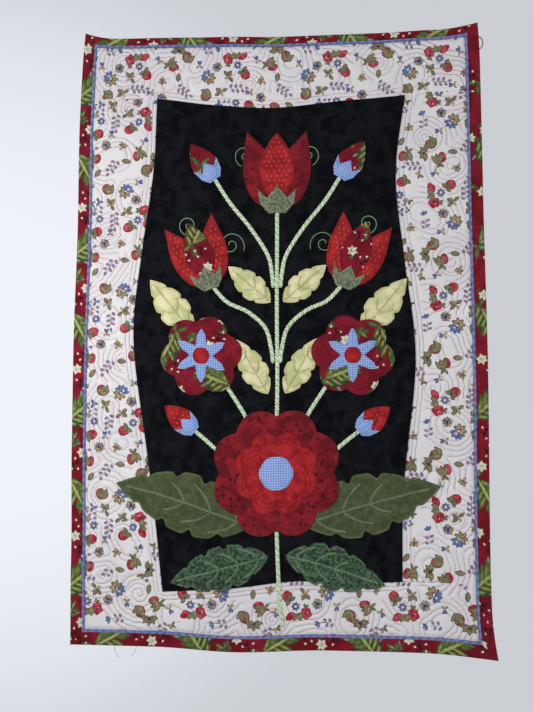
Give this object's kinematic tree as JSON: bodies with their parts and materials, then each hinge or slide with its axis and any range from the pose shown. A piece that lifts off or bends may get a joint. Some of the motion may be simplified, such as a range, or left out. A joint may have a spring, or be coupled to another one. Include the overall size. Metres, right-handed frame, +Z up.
{
  "type": "quilted wall hanging",
  "caption": "Small upright quilt hung flat on a wall: printed border, dark centre panel with appliqué flowers, couched stems and a mitred print binding.",
  "frame": {"origin": "middle of the quilt's top edge, on the plane of the wall that it hangs against", "axes": "+Z up, +X to the right seen from the front, +Y into the wall, so the decorated front faces -Y"},
  "size_m": [0.5197, 0.0158, 0.7827],
  "materials": {
    "printed_cotton": "matt cream cotton with a small flower print, quilted",
    "red_print": "matt deep red cotton with a small leaf and star print",
    "black_cotton": "matt black cotton, slightly mottled",
    "crimson_batik": "matt crimson cotton, mottled",
    "bright_red": "matt red cotton, mottled",
    "leaf_green": "matt dull green cotton, mottled",
    "deep_green": "matt deep green cotton, mottled",
    "sage": "matt grey green cotton, mottled",
    "pale_leaf": "matt pale yellow green cotton, mottled",
    "blue_check": "matt blue and white fine check",
    "stem_cord": "twisted pale green and white cotton cord",
    "tan_cord": "thin tan cord",
    "blue_thread": "shaded blue stitching thread",
    "rose_thread": "dusty rose quilting thread",
    "green_thread": "green stitching thread"
  },
  "bodies": {
    "root": {"base_leaf_left": "leaf_green", "base_leaf_right": "leaf_green", "binding_bottom": "red_print", "binding_left": "red_print", "binding_right": "red_print", "binding_top": "red_print", "centre_panel": "black_cotton", "flower_stem_left": "stem_cord", "flower_stem_right": "stem_cord", "high_bud_calyx_left": "blue_check", "high_bud_calyx_right": "blue_check", "high_bud_left": "red_print", "high_bud_right": "red_print", "high_bud_stem_left": "stem_cord", "high_bud_stem_right": "stem_cord", "low_bud_calyx_left": "blue_check", "low_bud_calyx_right": "blue_check", "low_bud_left": "bright_red", "low_bud_right": "bright_red", "low_bud_stem_left": "stem_cord", "low_bud_stem_right": "stem_cord", "lower_leaf_left": "deep_green", "lower_leaf_right": "deep_green", "main_stem": "stem_cord", "middle_leaf_left": "pale_leaf", "middle_leaf_right": "pale_leaf", "outer_leaf_left": "pale_leaf", "outer_leaf_right": "pale_leaf", "quilt_body": "printed_cotton", "rosette_centre": "blue_check", "rosette_inner": "bright_red", "rosette_outer": "crimson_batik", "side_flower_eye_left": "bright_red", "side_flower_eye_right": "bright_red", "side_flower_left": "red_print", "side_flower_right": "red_print", "side_flower_star_left": "blue_check", "side_flower_star_right": "blue_check", "side_loop": "tan_cord", "side_tulip_calyx_left": "sage", "side_tulip_calyx_right": "sage", "side_tulip_cup_left": "bright_red", "side_tulip_cup_right": "bright_red", "side_tulip_petal_left": "red_print", "side_tulip_petal_right": "red_print", "top_tulip_calyx": "sage", "top_tulip_cup": "crimson_batik", "top_tulip_petal": "bright_red", "tulip_stem_left": "stem_cord", "tulip_stem_right": "stem_cord", "upper_leaf_left": "pale_leaf", "upper_leaf_right": "pale_leaf"}
  },
  "joints": []
}
